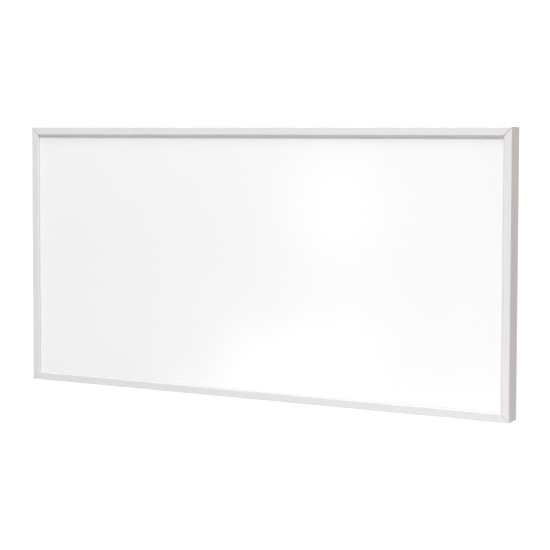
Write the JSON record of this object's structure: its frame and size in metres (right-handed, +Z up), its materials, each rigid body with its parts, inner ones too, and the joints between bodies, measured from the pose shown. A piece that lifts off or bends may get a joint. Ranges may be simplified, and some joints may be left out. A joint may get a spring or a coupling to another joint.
{
  "type": "infrared panel heater",
  "caption": "Flat rectangular wall heater: white radiant plate recessed in a deep mitred white frame, with keyhole hangers, connection box and cable gland behind.",
  "frame": {"origin": "middle of the wall plane, which is the rear plane of the frame and of the hangers", "axes": "+X to the right as seen from the room, +Y from the room into the wall, +Z up; the radiant face looks along -Y"},
  "size_m": [1.2, 0.044, 0.6],
  "materials": {
    "white_powder_coat": "satin",
    "white_enamel": "gloss",
    "mill_aluminium": "satin",
    "galvanised_steel": "satin",
    "zinc_plated_steel": "satin",
    "carbon_film": "matte",
    "copper": "satin",
    "mica_sheet": "matte",
    "bright_foil": "polished",
    "mineral_wool": "matte",
    "grey_plastic": "satin",
    "pale_plastic": "satin",
    "black_rubber": "matte",
    "brass": "satin",
    "brown_lead": "satin",
    "blue_lead": "satin",
    "red_lead": "satin",
    "green_lead": "satin"
  },
  "bodies": {
    "root": {"frame_bottom_rail": "white_powder_coat", "frame_right_stile": "white_powder_coat", "frame_top_rail": "white_powder_coat", "frame_left_stile": "white_powder_coat", "corner_key_bottom_left": "mill_aluminium", "face_aligner_bottom_left": "zinc_plated_steel", "set_screw_a_bottom_left": "zinc_plated_steel", "set_screw_b_bottom_left": "zinc_plated_steel", "corner_key_bottom_right": "mill_aluminium", "face_aligner_bottom_right": "zinc_plated_steel", "set_screw_a_bottom_right": "zinc_plated_steel", "set_screw_b_bottom_right": "zinc_plated_steel", "corner_key_top_right": "mill_aluminium", "face_aligner_top_right": "zinc_plated_steel", "set_screw_a_top_right": "zinc_plated_steel", "set_screw_b_top_right": "zinc_plated_steel", "corner_key_top_left": "mill_aluminium", "face_aligner_top_left": "zinc_plated_steel", "set_screw_a_top_left": "zinc_plated_steel", "set_screw_b_top_left": "zinc_plated_steel", "heating_plate": "white_enamel", "heating_film": "carbon_film", "busbar_top": "copper", "busbar_bottom": "copper", "insulating_sheet": "mica_sheet", "reflector_foil": "bright_foil", "insulation_mat": "mineral_wool", "back_plate": "galvanised_steel", "hanger_bottom_left": "galvanised_steel", "rivet_bottom_left_left": "zinc_plated_steel", "rivet_bottom_left_right": "zinc_plated_steel", "hanger_bottom_right": "galvanised_steel", "rivet_bottom_right_left": "zinc_plated_steel", "rivet_bottom_right_right": "zinc_plated_steel", "hanger_top_right": "galvanised_steel", "rivet_top_right_left": "zinc_plated_steel", "rivet_top_right_right": "zinc_plated_steel", "hanger_top_left": "galvanised_steel", "rivet_top_left_left": "zinc_plated_steel", "rivet_top_left_right": "zinc_plated_steel", "connection_box_base": "grey_plastic", "connection_box_lid": "grey_plastic", "lid_screw_1": "zinc_plated_steel", "lid_screw_2": "zinc_plated_steel", "box_rivet_left": "zinc_plated_steel", "box_rivet_right": "zinc_plated_steel", "terminal_block": "pale_plastic", "earth_stud": "zinc_plated_steel", "earth_nut": "brass", "lead_grommet": "black_rubber", "gland_body": "grey_plastic", "gland_seal": "black_rubber", "gland_nut": "grey_plastic", "gland_locknut": "grey_plastic", "thermal_cutout": "pale_plastic", "live_lead": "brown_lead", "neutral_lead": "blue_lead", "element_lead": "red_lead", "earth_lead": "green_lead"}
  },
  "joints": []
}
